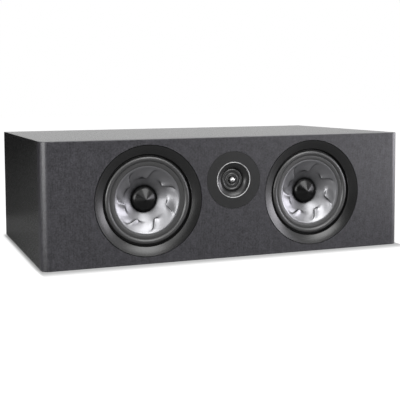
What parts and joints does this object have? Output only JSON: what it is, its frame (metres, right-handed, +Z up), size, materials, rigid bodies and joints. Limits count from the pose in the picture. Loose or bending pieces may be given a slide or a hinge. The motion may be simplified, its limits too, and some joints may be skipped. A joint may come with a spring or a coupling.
{
  "type": "center channel speaker",
  "caption": "Wide ported center channel speaker: dark wood-grain cabinet with rounded front edges, swirl-fluted silver woofers either side of a ring tweeter.",
  "frame": {"origin": "centre of the cabinet's footprint, on the bottom face", "axes": "+X to the listener's right along the width, +Y from the front baffle to the back, +Z up"},
  "size_m": [0.625, 0.37, 0.196],
  "materials": {
    "baffle_finish": "dark wood-grain foil, satin",
    "cabinet_finish": "dark wood-grain foil, satin",
    "back_finish": "plain black foil, satin",
    "raw_board": "bare fibreboard",
    "pad_foam": "open foam",
    "trim_satin": "satin moulding",
    "basket_cast": "black coated casting",
    "gasket_foam": "closed-cell foam",
    "surround_rubber": "smooth moulded rubber",
    "cone_silver": "satin metallic coat",
    "cap_gloss": "gloss",
    "former_metal": "plain sheet",
    "copper_wire": "enamelled wire",
    "spider_cloth": "resin-stiffened weave",
    "motor_steel": "zinc plated",
    "ferrite": "ground ceramic",
    "tweeter_satin": "fine satin moulding",
    "bezel_bright": "bright turned",
    "horn_black": "satin moulding",
    "film_black": "coated cloth film",
    "plug_silver": "satin turned",
    "chamber_black": "moulded",
    "board_green": "lacquered laminate",
    "can_film": "wrapped film",
    "resistor_ceramic": "ceramic",
    "port_black": "fine grained moulding",
    "cup_black": "fine grained moulding",
    "post_metal": "plated",
    "red_nut": "gloss",
    "black_nut": "gloss",
    "screw_black": "black oxide"
  },
  "bodies": {
    "cabinet": {"front_baffle": "baffle_finish", "top_panel": "cabinet_finish", "bottom_panel": "cabinet_finish", "left_side_panel": "cabinet_finish", "right_side_panel": "cabinet_finish", "back_panel": "back_finish", "left_window_brace": "raw_board", "right_window_brace": "raw_board", "left_damping_pad": "pad_foam", "right_damping_pad": "pad_foam", "left_woofer_trim_ring": "trim_satin", "left_woofer_basket": "basket_cast", "left_woofer_gasket": "gasket_foam", "left_woofer_surround": "surround_rubber", "left_woofer_spider": "spider_cloth", "left_woofer_top_plate": "motor_steel", "left_woofer_magnet": "ferrite", "left_woofer_yoke": "motor_steel", "right_woofer_trim_ring": "trim_satin", "right_woofer_basket": "basket_cast", "right_woofer_gasket": "gasket_foam", "right_woofer_surround": "surround_rubber", "right_woofer_spider": "spider_cloth", "right_woofer_top_plate": "motor_steel", "right_woofer_magnet": "ferrite", "right_woofer_yoke": "motor_steel", "woofer_screws": "screw_black", "tweeter_trim_plate": "tweeter_satin", "tweeter_bezel": "bezel_bright", "tweeter_chassis": "horn_black", "tweeter_diaphragm": "film_black", "tweeter_phase_plug": "plug_silver", "tweeter_top_plate": "motor_steel", "tweeter_magnet": "ferrite", "tweeter_yoke": "motor_steel", "tweeter_rear_chamber": "chamber_black", "tweeter_screws": "screw_black", "crossover_board": "board_green", "crossover_standoffs": "screw_black", "low_pass_inductor": "copper_wire", "high_pass_inductor": "copper_wire", "low_pass_capacitor": "can_film", "high_pass_capacitor": "can_film", "level_resistor": "resistor_ceramic", "port_tube": "port_black", "terminal_cup": "cup_black", "red_post_stud": "post_metal", "black_post_stud": "post_metal", "terminal_screws": "screw_black"},
    "left_cone": {"left_woofer_cone": "cone_silver", "left_woofer_dust_cap": "cap_gloss", "left_woofer_coil_former": "former_metal", "left_woofer_coil_winding": "copper_wire"},
    "right_cone": {"right_woofer_cone": "cone_silver", "right_woofer_dust_cap": "cap_gloss", "right_woofer_coil_former": "former_metal", "right_woofer_coil_winding": "copper_wire"},
    "tweeter_coil": {"tweeter_voice_coil": "copper_wire"},
    "red_nut": {"red_thumb_nut": "red_nut"},
    "black_nut": {"black_thumb_nut": "black_nut"}
  },
  "joints": [
    {"name": "left_cone_travel", "type": "slide", "parent": "cabinet", "child": "left_cone", "axis": [0, -1, 0], "range_m": [-0.006, 0.006], "stiffness_N_per_m": 1200, "deforming": ["left_woofer_surround", "left_woofer_spider"]},
    {"name": "right_cone_travel", "type": "slide", "parent": "cabinet", "child": "right_cone", "axis": [0, -1, 0], "range_m": [-0.006, 0.006], "stiffness_N_per_m": 1200, "deforming": ["right_woofer_surround", "right_woofer_spider"]},
    {"name": "tweeter_coil_travel", "type": "slide", "parent": "cabinet", "child": "tweeter_coil", "axis": [0, -1, 0], "range_m": [-0.0004, 0.0004], "stiffness_N_per_m": 6000, "deforming": ["tweeter_diaphragm"]},
    {"name": "red_nut_turn", "type": "hinge", "parent": "cabinet", "child": "red_nut", "pos_m": [0.1655, 0.16, 0.098], "axis": [0, 1, 0], "range_deg": [0, 1800]},
    {"name": "black_nut_turn", "type": "hinge", "parent": "cabinet", "child": "black_nut", "pos_m": [0.1845, 0.16, 0.098], "axis": [0, 1, 0], "range_deg": [0, 1800]}
  ]
}
